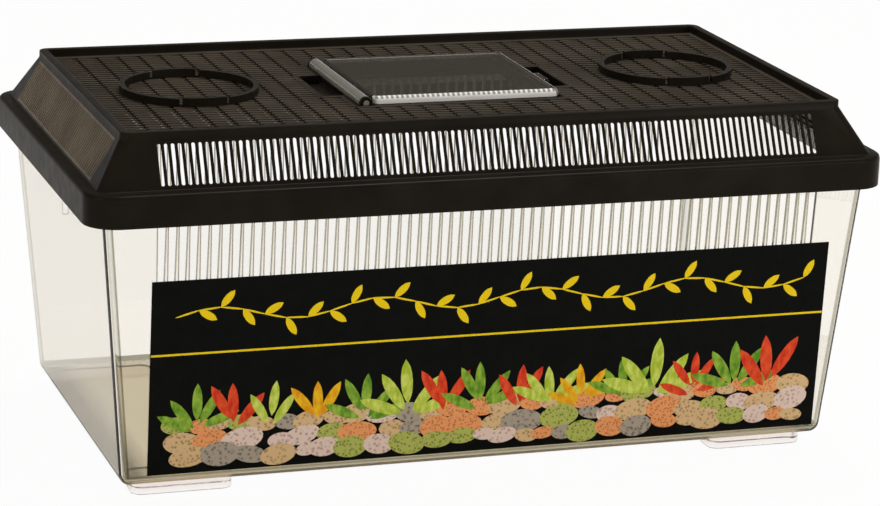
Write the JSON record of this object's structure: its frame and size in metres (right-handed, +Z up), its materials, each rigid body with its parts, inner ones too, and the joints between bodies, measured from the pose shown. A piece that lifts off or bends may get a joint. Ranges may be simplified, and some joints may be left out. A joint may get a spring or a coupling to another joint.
{
  "type": "reptile terrarium",
  "caption": "Flat clear plastic reptile terrarium with slotted long walls, stacking feet and a black slotted lift-off lid with a clear hinged hatch.",
  "frame": {"origin": "centre of the footprint, on the floor under the feet", "axes": "+X along the length, to the right seen from the front; -Y to the front with the label; +Z up"},
  "size_m": [0.46, 0.26, 0.2063],
  "materials": {
    "clear_tank": "clear, slightly cream moulded polystyrene",
    "clear_foot": "clear moulded polystyrene",
    "label": null,
    "lid_plastic": "black satin moulded plastic",
    "clear_hatch": "water-clear moulded plastic"
  },
  "bodies": {
    "tank": {"tank_shell": "clear_tank", "front_left_foot": "clear_foot", "front_right_foot": "clear_foot", "rear_left_foot": "clear_foot", "rear_right_foot": "clear_foot", "front_label": "label"},
    "lid": {"lid_frame": "lid_plastic", "front_vent": "lid_plastic", "rear_vent": "lid_plastic", "left_vent": "lid_plastic", "right_vent": "lid_plastic", "top_bars": "lid_plastic", "top_ribs": "lid_plastic", "left_ring": "lid_plastic", "right_ring": "lid_plastic", "hatch_frame": "lid_plastic"},
    "hatch": {"hatch_window": "clear_hatch", "hatch_hinge_barrel": "clear_hatch", "hatch_latch_tab": "clear_hatch"}
  },
  "joints": [
    {"name": "lid_lift", "type": "slide", "parent": "tank", "child": "lid", "axis": [0, 0, 1], "range_m": [0, 0.12]},
    {"name": "hatch_hinge", "type": "hinge", "parent": "lid", "child": "hatch", "pos_m": [-0.0559, 0, 0.2025], "axis": [0, -1, 0], "range_deg": [0, 100]}
  ]
}
